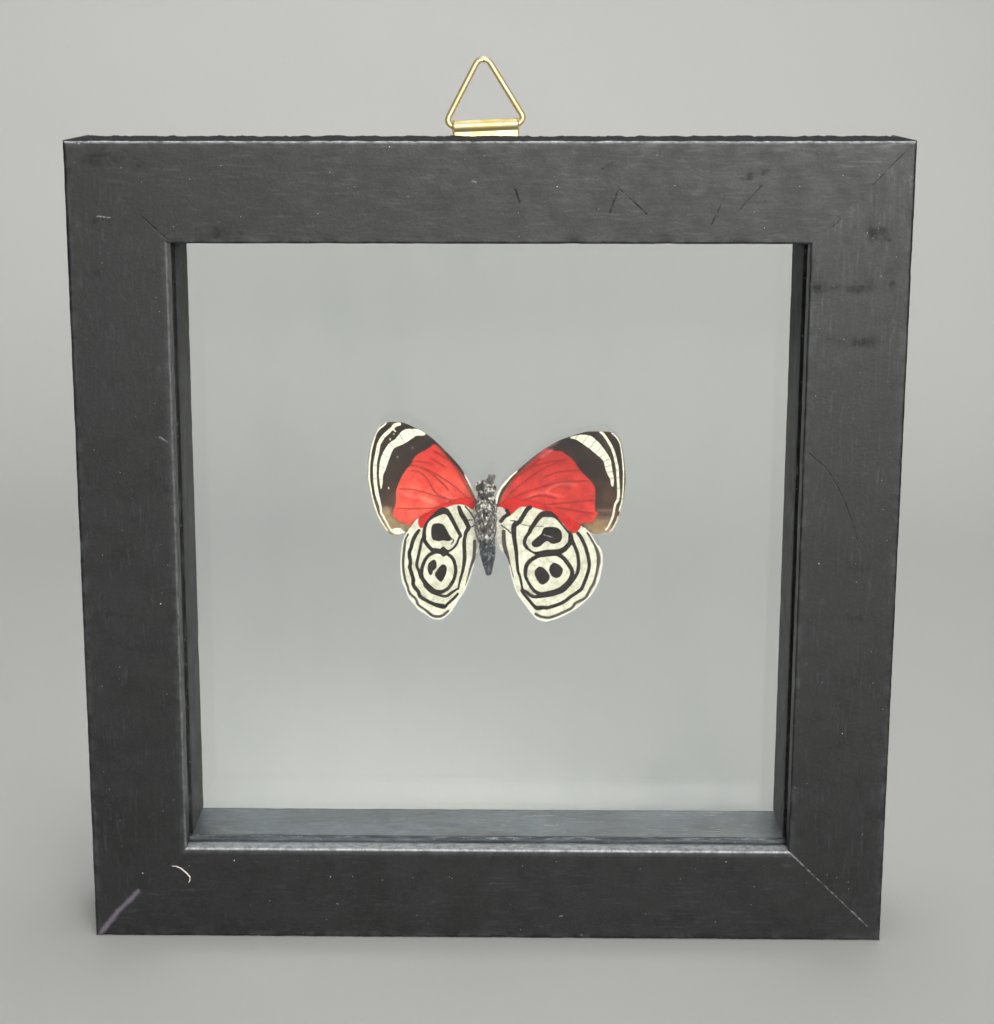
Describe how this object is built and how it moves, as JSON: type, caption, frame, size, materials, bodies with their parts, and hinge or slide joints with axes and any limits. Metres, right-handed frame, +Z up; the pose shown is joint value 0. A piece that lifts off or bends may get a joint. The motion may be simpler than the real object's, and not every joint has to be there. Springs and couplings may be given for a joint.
{
  "type": "framed butterfly specimen",
  "caption": "Spread butterfly sealed between two panes of glass in a small black shadow-box frame, with a brass ring on the back to hang it by.",
  "frame": {"origin": "on the surface the frame stands on, under the middle of its bounding box", "axes": "+Z up along the frame's sides, -Y is the front that shows the specimen, +Y the back with the hanger"},
  "size_m": [0.127, 0.0238, 0.1391],
  "materials": {
    "frame_paint": "worn satin black paint on wood",
    "clear_glass": "clear float glass with polished faces",
    "spacer_paint": "satin dark grey paint",
    "hanger_brass": "bright brass plate",
    "forewing_scales": "matt wing scales",
    "hindwing_scales": "matt wing scales",
    "body_hair": "short grey and black hair",
    "clear_glue": "clear dried glue"
  },
  "bodies": {
    "frame": {"rail_top": "frame_paint", "rail_right": "frame_paint", "rail_bottom": "frame_paint", "rail_left": "frame_paint", "front_glass": "clear_glass", "back_glass": "clear_glass", "spacer_top": "spacer_paint", "spacer_bottom": "spacer_paint", "spacer_left": "spacer_paint", "spacer_right": "spacer_paint", "hanger_strap": "hanger_brass", "hanger_screw": "hanger_brass", "forewing_left": "forewing_scales", "forewing_right": "forewing_scales", "hindwing_left": "hindwing_scales", "hindwing_right": "hindwing_scales", "butterfly_body": "body_hair", "glue_dab": "clear_glue"},
    "ring": {"hanger_ring": "hanger_brass"}
  },
  "joints": [
    {"name": "ring_swing", "type": "hinge", "parent": "frame", "child": "ring", "pos_m": [-0.0006, 0.01015, 0.12845], "axis": [0.9992, 0, 0.0401], "range_deg": [-150, 90]}
  ]
}
